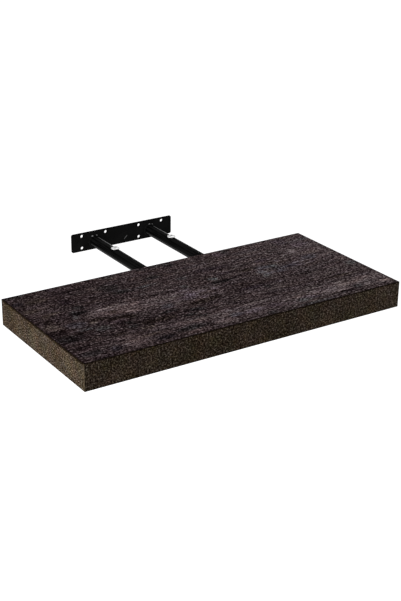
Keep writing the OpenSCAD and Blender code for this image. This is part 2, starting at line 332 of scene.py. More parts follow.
def decor_tone(shade, plank, marks):
    """The decor's tone in 0 to 255 steps, and its factors on red and blue: ragged patches and scratches."""
    bent = pushed(shade, plank, pushed(shade, plank, plank, SWAY), FRAY)
    hue = shade.separate(shade.noise(plank, HUE_SCALE, color=True))
    red = shade.math("MULTIPLY_ADD", hue[0], HUE_SHARE, RED_BASE)
    blue = shade.math("MULTIPLY_ADD", hue[2], HUE_SHARE, BLUE_BASE)
    tone = 0.0
    for along, deep, half_l, half_w, bright, *hues in marks:
        away = shade.vector("MULTIPLY_ADD", bent, (1 / half_l, 1 / half_w, 0),
                            (-along / half_l, -deep / half_w, 0))
        square = shade.vector("DOT_PRODUCT", away, away)
        near = shade.math("POWER", PATCH_BASE, shade.times(square, square))
        tone = shade.math("MULTIPLY_ADD", near, bright * PATCH_GAIN, tone)
        for red_shift, blue_shift in hues:
            red = shade.math("MULTIPLY_ADD", near, red_shift, red)
            blue = shade.math("MULTIPLY_ADD", near, blue_shift, blue)
    for start, end, bright in SCRATCHES:
        run = Vector(end) - Vector(start)
        across = Vector((-run.y, run.x)).normalized()
        away = shade.vector("SUBTRACT", plank, (*((Vector(start) + Vector(end)) / 2), 0))
        lengthways = shade.vector("DOT_PRODUCT", away, (*(run.normalized() / (run.length / 2)), 0))
        sideways = shade.vector("DOT_PRODUCT", away, (*across, 0))
        inside = shade.rescale(shade.math("ABSOLUTE", lengthways), 0.8, 1.1, 1, 0)
        thin = shade.math("EXPONENT", shade.times(shade.math("POWER", sideways, 2), -0.5))
        tone = shade.math("MULTIPLY_ADD", shade.times(thin, inside), bright, tone)
    return tone, red, blue


def centred(shade, value, amount):
    """Noise around its middle, times an amount."""
    return shade.times(shade.math("SUBTRACT", value, 0.5), amount)


# The decor's tone at its left end, and what it gains to the right as painted sheen, in 0 to 255 steps
DECOR_TONE = 29
DECOR_PAINTED_SHEEN = 23
# The grain's layers: scale along and across, detail, roughness, and amount in tone steps
DECOR_LAYERS = {
    "streaks": ((0.012, 0.10, 0), 3, 0.6, 30),
    "lines": ((0.006, 0.45, 0), 2, 0.6, 42),
    "flow": ((0.020, 0.30, 0), 2, 0.6, 62),
    "grain": ((0.06, 0.60, 0), 2, 0.6, 90),
    "flecks": ((0.12, 0.40, 0), 2, 0.7, 180),
}
# The finest layer, whose amount grows to the right
FINE_SCALE = (0.34, 0.30, 0)
FINE_ROUGHNESS = 0.8
FINE_AMOUNT = 290
FINE_GAIN = 140
# Pores: scale, the noise from which and at which they are full, and how much darker they are
PORE_SCALE = (0.12, 1.3, 0)
PORE_FROM, PORE_FULL = 0.60, 0.72
PORE_TONE = 16
DECOR_BUMP = 0.00008
# Browns over the tone's share of DECOR_FULL
DECOR_FULL = 160
DECOR_BROWNS = [
    (0.0, srgb(9, 6, 6)), (0.14, srgb(27, 19, 20)), (0.28, srgb(50, 41, 42)),
    (0.42, srgb(74, 64, 65)), (0.6, srgb(104, 93, 94)), (1.0, srgb(160, 150, 150)),
]
# The decor is darker next to the edge bands: how far in millimetres, and the tone's share at the left
# band and at the front one
DECOR_RIM = 1.4
EDGE_DARK_LEFT_SHARE = 0.45
EDGE_DARK_FRONT_SHARE = 0.6
BAND_THICK = 1.0


def decor_edge_darkening(shade):
    """A factor that darkens the decor next to the edge bands."""
    spot = shade.separate(shade.place(board_corner))
    left = shade.rescale(spot[0], BAND_THICK, BAND_THICK + DECOR_RIM, EDGE_DARK_LEFT_SHARE, 1, smooth=True)
    front = shade.rescale(spot[1], BAND_THICK, BAND_THICK + DECOR_RIM / 2, EDGE_DARK_FRONT_SHARE, 1, smooth=True)
    return shade.times(left, front)


def wood_decor(name, flip, marks):
    """Dark brown printed planks with streaks, patches of other hues and fine pores."""
    shade = Shade(name)
    plank = shade.place((board_low.x, back_y, 0), (flip, -1, 0))
    patches, red, blue = decor_tone(shade, plank, marks)
    fine = shade.noise(plank, FINE_SCALE, roughness=FINE_ROUGHNESS)
    along = shade.math("DIVIDE", shade.separate(plank)[0], board_size.x / MM)
    # The decor brightens towards the right: painted sheen
    tone = shade.math("MULTIPLY_ADD", along, DECOR_PAINTED_SHEEN, DECOR_TONE)
    tone = shade.math("ADD", tone, patches)
    layers = {}
    for key, (scale, detail, roughness, amount) in DECOR_LAYERS.items():
        layers[key] = shade.noise(plank, scale, detail, roughness)
        tone = shade.math("ADD", tone, centred(shade, layers[key], amount))
    fine_amount = shade.math("MULTIPLY_ADD", along, FINE_GAIN, FINE_AMOUNT)
    tone = shade.math("ADD", tone, centred(shade, fine, fine_amount))
    pores = shade.noise(plank, PORE_SCALE, roughness=0.6)
    tone = shade.math("SUBTRACT", tone, shade.rescale(pores, PORE_FROM, PORE_FULL, 0, PORE_TONE))
    tone = shade.times(tone, decor_edge_darkening(shade))
    brown = shade.ramp(shade.math("DIVIDE", tone, DECOR_FULL), DECOR_BROWNS)
    colour = shade.mix(1.0, brown, shade.combine(red, 1.0, blue), "MULTIPLY")
    rough = shade.spread(layers["grain"], 0.50, 0.64)
    height = shade.math("SUBTRACT", layers["grain"], shade.rescale(pores, PORE_FROM, PORE_FULL, 0, 0.6))
    return shade.finish(colour, rough, height, DECOR_BUMP, Specular_IOR_Level=0.0)


# The edge bands' speckle: mean tone, grain scale, contrast, least tint, width of the dark upper rim in
# millimetres, and painted shade: its axis, the places in millimetres where it starts and is full, and its
# factor
FRONT_SPECKLE = {"mean": 57, "grain": 0.42, "contrast": 520, "tint_base": (0.80, 0.84, 0.64), "rim": 1.6,
                 "painted_falloff": (0, 500, 280, 0.82)}
END_SPECKLE = {"mean": 42, "grain": 0.52, "contrast": 600, "tint_base": (0.81, 0.86, 0.65), "rim": 3.4,
               "painted_falloff": (1, 120, 225, 0.70)}
CLOUD_SCALE = 0.035
CLOUD_AMOUNT = 52
# The tone's shares in the dark upper and lower rims, and the heights in millimetres between which the
# lower one fades
UPPER_SHARE = 0.42
LOWER_SHARE = 0.62
LOWER_FADE = (0.6, 2.0)
BAND_BUMP = 0.00006
# Browns over the tone's share of BAND_FULL
BAND_FULL = 120
BAND_BROWNS = [
    (0.0, srgb(14, 9, 3)), (0.25, srgb(36, 28, 20)), (0.5, srgb(63, 54, 45)),
    (0.75, srgb(94, 85, 75)), (1.0, srgb(131, 122, 112)),
]
# Flecks: their colours, which cells have them, and where in a cell they fade
GOLD = srgb(104, 86, 56)
OLIVE_BROWN = srgb(62, 60, 42)
GOLD_CELLS = (0.80, 0.84)
OLIVE_CELLS = (0.78, 0.82)
FLECK_EDGE = (0.18, 0.45)
FLECK_SHARE = 0.35
FLECK_SCALE = 0.36


def edge_speckle(name, mean, grain, contrast, tint_base, rim, painted_falloff):
    """The edge bands' brown with olive and gold flecks, dark along its long edges; painted shade darkens one
    end.
    """
    shade = Shade(name)
    spot = shade.place(board_corner)
    cloud = shade.noise(spot, CLOUD_SCALE, detail=3)
    grit = shade.noise(spot, grain, detail=3, roughness=0.75)
    tone = shade.math("ADD", centred(shade, cloud, CLOUD_AMOUNT), mean)
    # Painted shade: the tone falls off towards one end of the band
    axis, falloff_from, falloff_to, falloff_share = painted_falloff
    falloff_factor = shade.rescale(shade.separate(spot)[axis], falloff_from, falloff_to, 1, falloff_share, smooth=True)
    tone = shade.times(tone, falloff_factor)
    tone = shade.math("ADD", tone, centred(shade, grit, contrast))
    height = shade.separate(spot)[2]
    thick = board_size.z / MM
    upper = shade.rescale(height, thick - rim, thick - rim / 2, 1, UPPER_SHARE, smooth=True)
    lower = shade.rescale(height, *LOWER_FADE, LOWER_SHARE, 1, smooth=True)
    tone = shade.times(tone, shade.times(upper, lower))
    brown = shade.ramp(shade.math("DIVIDE", tone, BAND_FULL), BAND_BROWNS)
    kind = shade.separate(shade.cells(spot, FLECK_SCALE, output="Color"))
    blot = shade.rescale(shade.cells(spot, FLECK_SCALE), *FLECK_EDGE, 1, 0)
    gold = shade.times(shade.rescale(kind[0], *GOLD_CELLS), blot)
    olive = shade.times(shade.rescale(kind[1], *OLIVE_CELLS), blot)
    colour = shade.mix(shade.times(gold, FLECK_SHARE), brown, GOLD)
    colour = shade.mix(shade.times(olive, FLECK_SHARE), colour, OLIVE_BROWN)
    hue = shade.noise(spot, 0.05, color=True)
    tint = shade.vector("MULTIPLY_ADD", hue, (0.4, 0.2, 0.5), tint_base)
    colour = shade.mix(1.0, colour, tint, "MULTIPLY")
    return shade.finish(colour, 0.55, grit, BAND_BUMP, Specular_IOR_Level=0.002)


CUT_BUMP = 0.00005
WOOD_BUMP = 0.00015
PAPER_BUMP = 0.0001
# The pine's growth lines in millimetres: their distance, how far they sway, and how much they lean
RING_PITCH = 4.2
RING_SWAY = 30
RING_LEAN = 0.7


def plain_speckle(name, dark, light, scale, rough, level):
    """A quiet two-tone surface for rims, cut edges and board cores."""
    shade = Shade(name)
    spot = shade.place(board_corner)
    grit = shade.noise(spot, scale, detail=3, roughness=0.7)
    colour = shade.two_tone(grit, dark, light)
    return shade.finish(colour, rough, grit, CUT_BUMP, Specular_IOR_Level=level)


def softwood(name):
    """Planed pine: long growth lines and darker fibres."""
    shade = Shade(name)
    spot = shade.place(board_corner)
    sway = shade.noise(spot, (0.008, 0.03, 0.05))
    across = shade.math("ADD", shade.separate(spot)[1], shade.times(sway, RING_SWAY))
    across = shade.math("ADD", across, shade.times(shade.separate(spot)[2], RING_LEAN))
    rings = shade.math("FRACT", shade.math("DIVIDE", across, RING_PITCH))
    late = shade.rescale(rings, 0.55, 1.0)
    fibre = shade.noise(spot, (0.05, 1.1, 1.1), detail=3, roughness=0.7)
    colour = shade.mix(late, srgb(222, 190, 142), srgb(188, 142, 90))
    colour = shade.mix(shade.rescale(fibre, 0.35, 0.75, 0, 0.5), colour, srgb(170, 128, 84))
    return shade.finish(colour, 0.72, fibre, WOOD_BUMP, Specular_IOR_Level=0.3)


def kraft_paper(name):
    """Brown paper with faint fibres."""
    shade = Shade(name)
    spot = shade.place(board_corner)
    fibre = shade.noise(spot, (0.8, 0.8, 0.2), detail=3, roughness=0.7)
    colour = shade.two_tone(fibre, srgb(150, 112, 72), srgb(186, 148, 104))
    return shade.finish(colour, 0.85, fibre, PAPER_BUMP, Specular_IOR_Level=0.2)


# The scratch on the wall plate, (x, z) in millimetres from the plate's middle
PLATE_SCRATCH = ((2.6, -8.8), (8.7, -3.1))
# Painted glints on the weld beads, grey spots on two lumps of each: (x, z) in millimetres from the tube's
# axis, and the half sizes of these spots
WELD_PAINTED_GLINTS = {"left_tube": [(-4.7, 9.8), (3.6, 9.9)], "right_tube": [(-1.3, 10.6), (4.5, 9.7)]}
GLINT_HALF_W, GLINT_HALF_H = 1.7, 1.0
# The grey of bare steel in the plate's scratch, also the colour of the weld beads' painted glints
SCRATCH_AND_GLINT_GREY = grey(118)
# What lies further than this before the wall is the plate's front, not its back
PLATE_FRONT_MM = 1


def bare_scratch(shade, spot, colour, start, end):
    """A thin grey scratch between two (x, z) places on a face that looks along Y."""
    start, end = (Vector((x, 0, z)) for x, z in (start, end))
    run = end - start
    away = shade.vector("SUBTRACT", spot, tuple((start + end) / 2))
    along = shade.vector("DOT_PRODUCT", away, tuple(run.normalized() / (run.length / 2)))
    across = shade.vector("DOT_PRODUCT", away, (-run.z / run.length, 0, run.x / run.length))
    inside = shade.rescale(shade.math("ABSOLUTE", along), 0.7, 1.1, 1, 0, smooth=True)
    thin = shade.rescale(shade.math("ABSOLUTE", across), 0.2, 0.8, 1, 0, smooth=True)
    before = shade.math("LESS_THAN", shade.separate(spot)[1], -PLATE_FRONT_MM)
    scratched = shade.times(shade.times(inside, thin), before)
    return shade.mix(scratched, colour, SCRATCH_AND_GLINT_GREY)


def painted_glint(shade, spot, colour, place):
    """A small painted glint: a grey patch round an (x, z) place."""
    away = shade.vector("SUBTRACT", spot, (place[0], 0, place[1]))
    away = shade.vector("MULTIPLY", away, (1 / GLINT_HALF_W, 0, 1 / GLINT_HALF_H))
    near = shade.math("EXPONENT", shade.times(shade.vector("DOT_PRODUCT", away, away), -1))
    return shade.mix(shade.rescale(near, 0.25, 0.7, smooth=True), colour, SCRATCH_AND_GLINT_GREY)


# The coat's specular level and the height of its peel in metres
SHEEN = 0.003
PEEL_HEIGHT = 0.00003


def coat_texture(shade, spot):
    """The powder coat's fine peel and its broad cloudiness."""
    return shade.noise(spot, 0.9), shade.noise(spot, 0.05, detail=3)


def finish_coat(shade, colour, peel, cloud, height=PEEL_HEIGHT):
    """The coat's satin surface over a colour."""
    rough = shade.spread(cloud, 0.20, 0.30)
    return shade.finish(colour, rough, peel, height, Specular_IOR_Level=SHEEN)


# How far from the plate's edges and holes its coat is darker, in millimetres, and the share of its tone that
# is left there
PLATE_DARK_REACH = 1.3
PLATE_DARK_SHARE = 0.2


def plate_edge_darkening(shade, spot):
    """A factor that darkens the plate's coat along its outline and round its holes."""
    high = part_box("wall_plate")[1]
    across, _, up = shade.separate(shade.vector("ABSOLUTE", spot))
    inset = shade.math("MAXIMUM", shade.math("SUBTRACT", across, high.x / MM),
                       shade.math("SUBTRACT", up, high.z / MM))
    clear = shade.times(inset, -1)
    for x, z, radius in mount_holes():
        if x > 0 and z > 0:
            away = shade.vector("SUBTRACT", shade.vector("ABSOLUTE", spot), (x / MM, 0, z / MM))
            away = shade.vector("MULTIPLY", away, (1, 0, 1))
            reach = shade.math("SQRT", shade.vector("DOT_PRODUCT", away, away))
            clear = shade.math("MINIMUM", clear, shade.math("SUBTRACT", reach, radius / MM))
    return shade.rescale(clear, PLATE_DARK_REACH / 2, PLATE_DARK_REACH, PLATE_DARK_SHARE, 1, smooth=True)


def plate_coat(name):
    """Satin black powder coat with one scratch, darker along the edges and round the holes."""
    shade = Shade(name)
    spot = shade.place((0, 0, 0))
    peel, cloud = coat_texture(shade, spot)
    colour = shade.two_tone(cloud, grey(18), grey(27))
    colour = bare_scratch(shade, spot, colour, *PLATE_SCRATCH)
    factor = plate_edge_darkening(shade, spot)
    colour = shade.mix(1.0, colour, shade.combine(factor, factor, factor), "MULTIPLY")
    return finish_coat(shade, colour, peel, cloud)


def tube_place(shade, tube):
    """Coordinates in millimetres from a tube's axis."""
    low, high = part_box(tube)
    return shade.place(((low.x + high.x) / 2, 0, (low.z + high.z) / 2))


def weld_coat(name, tube):
    """The plate's coat on the weld bead round a tube, with painted glints on two of its lumps."""
    shade = Shade(name)
    spot = tube_place(shade, tube)
    peel, cloud = coat_texture(shade, spot)
    colour = shade.two_tone(cloud, grey(15), grey(24))
    # Painted glints on the bead's lumps
    for place in WELD_PAINTED_GLINTS[tube]:
        colour = painted_glint(shade, spot, colour, place)
    return finish_coat(shade, colour, peel, cloud)


# Painted highlights and painted reflections, lighter grey lines along a tube: degrees from the tube's top
# towards +X, half width in degrees, start and end in millimetres before the wall, and the grey at the start
# and at the end
TUBE_PAINTED_HIGHLIGHTS = [
    (19, 12, 9, 59, 95, 150), (20, 10, 75, 184, 112, 40), (-105, 9, 5, 200, 52, 42),
    (-20, 5, 6, 200, 23, 21), (-45, 4, 6, 200, 18, 24), (-68, 5, 6, 200, 24, 18), (-88, 4, 6, 200, 17, 21),
]
# How far a painted highlight line fades in and out, in millimetres
HIGHLIGHT_FADE = 3


def painted_highlight_line(shade, spot, colour, tube_r, highlight):
    """Blends one of the painted highlight lines into the coat's colour."""
    angle, half_width, start, end, grey_start, grey_end = highlight
    outward = (math.sin(math.radians(angle)) / tube_r, 0, math.cos(math.radians(angle)) / tube_r)
    facing = shade.vector("DOT_PRODUCT", spot, outward)
    near = shade.rescale(facing, math.cos(math.radians(half_width)), 1, smooth=True)
    before = shade.times(shade.separate(spot)[1], -1)
    near = shade.times(near, shade.rescale(before, start, start + HIGHLIGHT_FADE))
    near = shade.times(near, shade.rescale(before, end - HIGHLIGHT_FADE, end, 1, 0))
    line = shade.mix(shade.rescale(before, start, end), grey(grey_start), grey(grey_end))
    return shade.mix(near, colour, line)


def tube_coat(name, tube):
    """Black coat with faint lines along the tube, and painted highlight and reflection lines over it."""
    low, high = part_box(tube)
    shade = Shade(name)
    spot = tube_place(shade, tube)
    peel, cloud = coat_texture(shade, spot)
    lines = shade.noise(spot, (0.5, 0.02, 0.5))
    shift = shade.math("ADD", cloud, centred(shade, lines, 3.0))
    colour = shade.two_tone(shift, grey(3), grey(13))
    # Painted highlights and reflections: lighter grey lines along the tube
    for highlight in TUBE_PAINTED_HIGHLIGHTS:
        colour = painted_highlight_line(shade, spot, colour, (high.x - low.x) / 2 / MM, highlight)
    return finish_coat(shade, colour, peel, cloud, PEEL_HEIGHT / 3)


ZINC_BUMP = 0.00002
# Factors on the plating's brightness, and how much rougher its roughest streaks are
ZINC_DARK, ZINC_LIGHT = 0.85, 1.12
ZINC_ROUGH_GAIN = 0.14


def zinc(name, bright, rough):
    """Zinc plating, slightly streaked round the head."""
    shade = Shade(name)
    spot = shade.place((0, 0, 0))
    brush = shade.noise(spot, (1.2, 1.2, 3), detail=3, roughness=0.6)
    colour = shade.two_tone(brush, (bright * ZINC_DARK,) * 3, (bright * ZINC_LIGHT,) * 3)
    rough = shade.spread(brush, rough, rough + ZINC_ROUGH_GAIN)
    return shade.finish(colour, rough, brush, ZINC_BUMP, Metallic=1.0)


def make_materials():
    """All materials by their use."""
    return {
        "decor": wood_decor("decor_top", 1, MARKS),
        "decor_below": wood_decor("decor_below", -1, MARKS[::4]),
        "front_band": edge_speckle("front_speckle", **FRONT_SPECKLE),
        "end_band": edge_speckle("end_speckle", **END_SPECKLE),
        "rim": plain_speckle("band_rim", srgb(12, 9, 6), srgb(26, 20, 15), scale=0.8, rough=0.6, level=0.0),
        # Lighter brown on the bands' rounded upright edges: the band's cut-edge colour together with a
        # painted highlight
        "cut": plain_speckle("band_cut_and_highlight", srgb(70, 60, 47), srgb(98, 86, 69),
                             scale=0.6, rough=0.6, level=0.02),
        "fibre": plain_speckle("fibreboard", srgb(112, 82, 56), srgb(146, 112, 80),
                               scale=1.2, rough=0.85, level=0.2),
        "softwood": softwood("softwood"),
        "paper": kraft_paper("kraft_paper"),
        "plate_coat": plate_coat("plate_coat"),
        "left_weld_coat": weld_coat("left_weld_coat", "left_tube"),
        "right_weld_coat": weld_coat("right_weld_coat", "right_tube"),
        "left_tube_coat": tube_coat("left_tube_coat", "left_tube"),
        "right_tube_coat": tube_coat("right_tube_coat", "right_tube"),
        "zinc": zinc("zinc_plating", bright=0.56, rough=0.36),
        # The recess's near-black zinc is painted shade
        "zinc_painted_shade": zinc("zinc_recess_painted_shade", bright=0.05, rough=0.5),
    }


# Pieces

def new_piece(name, bm, materials, body, node, smooth_deg=35):
    """Makes a mesh object that stands for a CAD node and rides on its body."""
    mesh = bpy.data.meshes.new(name)
    bmesh.ops.recalc_face_normals(bm, faces=bm.faces)
    bm.to_mesh(mesh)
    bm.free()
    for material in materials:
        mesh.materials.append(material)
    mesh.shade_smooth()
    mesh.set_sharp_from_angle(angle=math.radians(smooth_deg))
    piece = bpy.data.objects.new(name, mesh)
    bpy.context.scene.collection.objects.link(piece)
    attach(piece, body)
    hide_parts(node)
    return piece


def box_mesh(low, high):
    """A bmesh box between two corners."""
    bm = bmesh.new()
    bmesh.ops.create_cube(bm, size=1)
    for vert in bm.verts:
        vert.co = Vector(top if part > 0 else bottom for part, bottom, top in zip(vert.co, low, high))
    return bm


def round_edges(bm, chosen, radius, segments=3):
    """Rounds the edges for which chosen(middle of the edge) is true."""
    edges = [e for e in bm.edges if chosen((e.verts[0].co + e.verts[1].co) / 2)]
    bmesh.ops.bevel(bm, geom=edges, offset=radius, offset_type="OFFSET", segments=segments,
                    profile=0.5, affect="EDGES", clamp_overlap=True)


# Two places nearer than this in metres are the same
TINY = 1e-5
BAND_ROUNDING = 0.45 * MM
SKIN_ROUNDING = 0.12 * MM
# A band's faces by how squarely they look: outward, up or down, and outward enough to be a short rim
FACE_ON = 0.99
UP_DOWN = 0.3
SHORT_RIM = 0.05


def make_panel(node, outer_sign, decor, fibre):
    """A fibreboard panel with decor on its outer face and raw edges."""
    low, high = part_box(node)
    bm = box_mesh(low, high)
    outer_z = high.z if outer_sign > 0 else low.z
    round_edges(bm, lambda middle: abs(middle.z - outer_z) < TINY, SKIN_ROUNDING, segments=2)
    for face in bm.faces:
        face.material_index = 0 if face.normal.z * outer_sign > 0.5 else 1
    return new_piece(node + "_skin", bm, [decor, fibre], "board", node)


def make_band(node, outward, materials):
    """An edge band with rounded outer edges; its materials are for face, long rims and short rims."""
    low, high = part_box(node)
    bm = box_mesh(low, high)
    axis = 0 if abs(outward.x) > 0 else 1
    outer = (high if outward[axis] > 0 else low)[axis]
    round_edges(bm, lambda middle: abs(middle[axis] - outer) < TINY, BAND_ROUNDING)
    for face in bm.faces:
        facing = face.normal.dot(outward)
        if facing > FACE_ON:
            face.material_index = 0
        elif abs(face.normal.z) > UP_DOWN:
            face.material_index = 1
        else:
            # Short rims, the rounded upright edges, take the cut-edge colour with its painted highlight
            face.material_index = 2 if facing > SHORT_RIM else 0
    return new_piece(node + "_strip", bm, materials, "board", node)


PLATE_ROUNDING = 0.35 * MM
PLATE_CORNER = 3 * MM
CORNER_STEPS = 10
HOLE_STEPS = 40


def arc(centre, radius, start_deg, end_deg, steps):
    """Points along an arc, both ends included."""
    turns = [math.radians(start_deg + (end_deg - start_deg) * i / steps) for i in range(steps + 1)]
    return [(centre[0] + radius * math.cos(turn), centre[1] + radius * math.sin(turn)) for turn in turns]


def mount_holes():
    """The wall plate's holes as (x, z, radius) from the record's bolt patterns."""
    holes = []
    for mount in frame["record"]["mounts"]:
        if mount["kind"] == "bolt_pattern":
            half_x = mount["dims"]["spacing_x_mm"] / 2 * MM
            half_z = mount["dims"]["spacing_y_mm"] / 2 * MM
            radius = mount["dims"]["hole_r_mm"] * MM
            holes += [(sx * half_x, sz * half_z, radius) for sx in (-1, 1) for sz in (-1, 1)]
    return holes


def make_plate(coat):
    """The wall plate with rounded edges all round, its holes included."""
    low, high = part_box("wall_plate")
    curve = bpy.data.curves.new("plate_curve", "CURVE")
    curve.dimensions = "2D"
    curve.fill_mode = "BOTH"
    curve.extrude = (high.y - low.y) / 2 - PLATE_ROUNDING
    curve.bevel_depth = PLATE_ROUNDING
    curve.bevel_resolution = 2
    curve.offset = -PLATE_ROUNDING
    side, top = high.x - PLATE_CORNER, high.z - PLATE_CORNER
    outline = []
    for quarter, middle in enumerate([(side, top), (-side, top), (-side, -top), (side, -top)]):
        outline += arc(middle, PLATE_CORNER, 90 * quarter, 90 * (quarter + 1), CORNER_STEPS)
    rings = [outline] + [arc((x, z), radius, 0, 360, HOLE_STEPS)[:-1] for x, z, radius in mount_holes()]
    for ring in rings:
        spline = curve.splines.new("POLY")
        spline.points.add(len(ring) - 1)
        for point, (px, pz) in zip(spline.points, ring):
            point.co = (px, pz, 0, 1)
        spline.use_cyclic_u = True
    flat = bpy.data.objects.new("plate_flat", curve)
    bpy.context.scene.collection.objects.link(flat)
    bpy.context.view_layer.update()
    mesh = bpy.data.meshes.new_from_object(flat.evaluated_get(bpy.context.evaluated_depsgraph_get()))
    bpy.data.objects.remove(flat)
    bm = bmesh.new()
    bm.from_mesh(mesh)
    bpy.data.meshes.remove(mesh)
    bmesh.ops.remove_doubles(bm, verts=bm.verts, dist=TINY / 10)
    upright = Matrix.Translation((0, (low.y + high.y) / 2, 0)) @ Matrix.Rotation(math.radians(90), 4, "X")
    bm.transform(upright)
    return new_piece("wall_plate_pressed", bm, [coat], "bracket", "wall_plate",
                     smooth_deg=40)


WELD_STEPS = 200
WELD_ACROSS = 9
WELD_LUMPS = 10
WELD_RIPPLES = 40
# Shares of the bead's leg: its least size, and what the lumps, the ripples and a slow wander add
WELD_LEAST = 0.78
WELD_LUMP = 0.17
WELD_RIPPLE = 0.03
WELD_WANDER = 0.02
# How far the lumps stray from their even places, in radians of their wave
LUMP_STRAY = 0.3
# Below 1 the bead bulges
WELD_BULGE = 0.9


def make_weld(node, tube_node, coat, seed):
    """A weld bead with overlapping ripples and an uneven toe, inside the CAD bead's space."""
    low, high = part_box(node)
    centre = (low + high) / 2
    tube_low, tube_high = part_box(tube_node)
    tube_r = (tube_high.x - tube_low.x) / 2
    leg = high.y - low.y
    rng = random.Random(seed)
    swell = [rng.uniform(0, math.tau) for _ in range(3)]
    bm = bmesh.new()
    rings = []
    for i in range(WELD_STEPS):
        turn = math.tau * i / WELD_STEPS
        lump = abs(math.sin(turn * WELD_LUMPS / 2 + LUMP_STRAY * math.sin(turn * 2 + swell[0])))
        ripple = math.sin(turn * WELD_RIPPLES + math.sin(turn * 3 + swell[1]))
        size = leg * (WELD_LEAST + WELD_LUMP * lump + WELD_RIPPLE * ripple
                      + WELD_WANDER * math.sin(turn * 3 + swell[2]))
        ring = []
        for k in range(WELD_ACROSS):
            bend = math.pi / 2 * k / (WELD_ACROSS - 1)
            out = size * math.cos(bend) ** WELD_BULGE
            up = size * math.sin(bend) ** WELD_BULGE
            radius = tube_r + out
            ring.append(bm.verts.new((centre.x + radius * math.sin(turn), high.y - up,
                                      centre.z + radius * math.cos(turn))))
        ring.append(bm.verts.new((centre.x + tube_r * math.sin(turn), high.y,
                                  centre.z + tube_r * math.cos(turn))))
        rings.append(ring)
    for i in range(WELD_STEPS):
        here, there = rings[i], rings[(i + 1) % WELD_STEPS]
        for k in range(WELD_ACROSS + 1):
            n = (k + 1) % (WELD_ACROSS + 1)
            bm.faces.new((here[k], here[n], there[n], there[k]))
    return new_piece(node + "_bead", bm, [coat], "bracket", node, smooth_deg=60)


SCREW_R = 3 * MM
SCREW_STEPS = 72
THREAD_PITCH = 1.0 * MM
THREAD_DEPTH = 0.55 * MM
# The tip gets thinner by this much, over as much of the length
THREAD_TIP = 0.8 * MM
SHANK_STEPS = 40
SHANK_ROWS = 96
HEAD_RIM = 0.9 * MM
HEAD_HEIGHT = 2.5 * MM
HEAD_ROUNDING = 0.3 * MM
ROUNDING_STEPS = 5
DOME_STEPS = 14
DOME_START_SHARE = 0.97
# The cross recess: its arms' length and width, its depth, how far its cutter stands out, and how much
# of the length and width is left at the bottom
RECESS_LEN = 6.4 * MM
RECESS_W = 1.2 * MM
RECESS_DEEP = 1.5 * MM
RECESS_OVERRUN = 0.3 * MM
RECESS_TAPER_SHARE = 0.35
RECESS_FLOOR_W_SHARE = 0.8
# A face is sunk when it lies this far below the dome, within this share of the head's radius
SUNK_DEPTH = 0.1 * MM
SUNK_REACH_SHARE = 0.7


def lathe(profile, steps):
    """A closed solid turned round Z from (radius, height) points that start and end on the axis."""
    bm = bmesh.new()
    rings = []
    for radius, height in profile:
        if radius < TINY / 100:
            rings.append([bm.verts.new((0, 0, height))])
        else:
            rings.append([bm.verts.new((radius * math.cos(math.tau * i / steps),
                                        radius * math.sin(math.tau * i / steps), height))
                          for i in range(steps)])
    for lower, upper in zip(rings, rings[1:]):
        for i in range(steps):
            j = (i + 1) % steps
            corners = [lower[i % len(lower)], lower[j % len(lower)],
                       upper[j % len(upper)], upper[i % len(upper)]]
            corners = [c for n, c in enumerate(corners) if c not in corners[:n]]
            bm.faces.new(corners)
    return bm


def head_profile(radius, height, rim, rounding):
    """A domed head: flat underside, rounded rim and a shallow dome."""
    dome = height - rim
    dome_r = (radius ** 2 + dome ** 2) / (2 * dome)
    points = [(0, 0), (radius - rounding, 0)]
    points += [(radius - rounding + rounding * math.sin(a), rounding - rounding * math.cos(a))
               for a in (math.pi / 2 * k / ROUNDING_STEPS for k in range(1, ROUNDING_STEPS + 1))]
    reach = math.asin(radius / dome_r)
    start = reach * DOME_START_SHARE
    points += [(dome_r * math.sin(a), height - dome_r + dome_r * math.cos(a))
               for a in (start * (1 - k / DOME_STEPS) for k in range(DOME_STEPS + 1))]
    return points


def thread_profile_radius(turn, height, major, length):
    """The thread's radius: a helical ridge, tapered at the tip."""
    phase = (height / THREAD_PITCH - turn / math.tau) % 1
    ridge = 1 - abs(2 * phase - 1)
    radius = major - THREAD_DEPTH * (1 - ridge)
    tip = (height + length) / THREAD_TIP
    return min(radius, major - THREAD_TIP * max(0, 1 - tip))


def threaded_shank(bm, major, length):
    """Adds a threaded shank below Z 0."""
    grid = []
    for row in range(SHANK_ROWS + 1):
        height = -length + length * row / SHANK_ROWS
        ring = []
        for i in range(SHANK_STEPS):
            turn = math.tau * i / SHANK_STEPS
            radius = thread_profile_radius(turn, height, major, length)
            ring.append(bm.verts.new((radius * math.cos(turn), radius * math.sin(turn), height)))
        grid.append(ring)
    for lower, upper in zip(grid, grid[1:]):
        for i in range(SHANK_STEPS):
            j = (i + 1) % SHANK_STEPS
            bm.faces.new((lower[i], lower[j], upper[j], upper[i]))
    bm.faces.new(list(reversed(grid[0])))
    bm.faces.new(grid[-1])


def cross_cutter(turn_deg):
    """Two tapered bars crossed, which cut a cross recess into a head."""
    bm = bmesh.new()
    for quarter in (0, 90):
        start = len(bm.verts)
        bmesh.ops.create_cube(bm, size=1)
        bm.verts.ensure_lookup_table()
        for vert in bm.verts[start:]:
            upper = vert.co.z > 0
            x = vert.co.x * RECESS_LEN * (1 if upper else RECESS_TAPER_SHARE)
            y = vert.co.y * RECESS_W * (1 if upper else RECESS_FLOOR_W_SHARE)
            z = HEAD_HEIGHT + (RECESS_OVERRUN if upper else -RECESS_DEEP)
            vert.co = Matrix.Rotation(math.radians(turn_deg + quarter), 3, "Z") @ Vector((x, y, z))
    return bm


